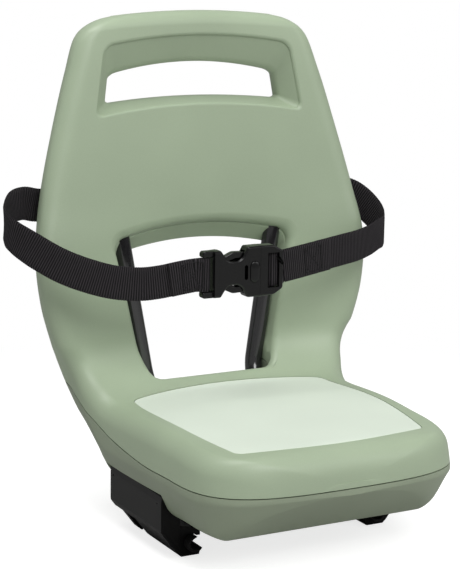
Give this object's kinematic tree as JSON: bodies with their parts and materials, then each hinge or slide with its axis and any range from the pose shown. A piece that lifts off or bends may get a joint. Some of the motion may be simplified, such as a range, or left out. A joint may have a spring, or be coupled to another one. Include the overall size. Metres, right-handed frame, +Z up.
{
  "type": "rear child bike seat",
  "caption": "Moulded child seat for a bicycle rear carrier, with carry handle, padded seat, tubular frame, sprung rail hooks and a buckled belt.",
  "frame": {"origin": "midway between the two carrier rails at rail height, on the mid plane of the seat, under the middle of the pad", "axes": "+Z up, the front of the seat faces -Y, +X to the right when looking along +Y"},
  "size_m": [0.3876, 0.312, 0.4485],
  "materials": {
    "shell_green": "fine satin moulded polypropylene",
    "tub_green": "fine satin moulded polypropylene, greyer green",
    "pad_mint": "soft closed-cell foam skin",
    "black_steel": "semi-gloss black powder coat",
    "zinc": "zinc plated",
    "black_rubber": "matt rubber",
    "spring_steel": "oiled spring steel",
    "black_plastic": "matt glass-filled nylon",
    "webbing": "ribbed polyester webbing",
    "buckle_plastic": "satin acetal"
  },
  "bodies": {
    "seat": {"seat_shell": "shell_green", "base_shell": "tub_green", "seat_pad": "pad_mint", "frame_tube": "black_steel", "tube_clips": "zinc", "clip_screws": "zinc", "tube_grommets": "black_rubber", "tube_screws": "zinc", "shell_screws": "zinc", "pivot_block_left": "zinc", "pivot_block_right": "zinc", "block_screws": "zinc", "pivot_pin_left": "zinc", "pivot_pin_right": "zinc", "pin_clips": "spring_steel", "hook_spring_left": "spring_steel", "hook_spring_right": "spring_steel", "belt_left": "webbing", "belt_right": "webbing", "belt_guides": "black_plastic", "guide_screws": "zinc", "buckle_socket": "buckle_plastic", "buckle_tongue": "buckle_plastic", "button_spring": "spring_steel"},
    "hook_left": {"bracket_left": "black_plastic", "hook_liner_left": "black_rubber"},
    "hook_right": {"bracket_right": "black_plastic", "hook_liner_right": "black_rubber"},
    "button": {"buckle_button": "buckle_plastic"}
  },
  "joints": [
    {"name": "hook_left_swing", "type": "hinge", "parent": "seat", "child": "hook_left", "pos_m": [-0.1133, 0.036, 0.039], "axis": [0, 1, 0], "range_deg": [0, 20], "stiffness_Nm_per_rad": 0.8, "springref_deg": -17.19},
    {"name": "hook_right_swing", "type": "hinge", "parent": "seat", "child": "hook_right", "pos_m": [0.1133, 0.036, 0.039], "axis": [0, -1, 0], "range_deg": [0, 20], "stiffness_Nm_per_rad": 0.8, "springref_deg": -17.19},
    {"name": "button_press", "type": "slide", "parent": "seat", "child": "button", "axis": [0, 1, 0], "range_m": [0, 0.0018], "stiffness_N_per_m": 500, "springref_m": -0.001, "deforming": ["button_spring"]}
  ]
}
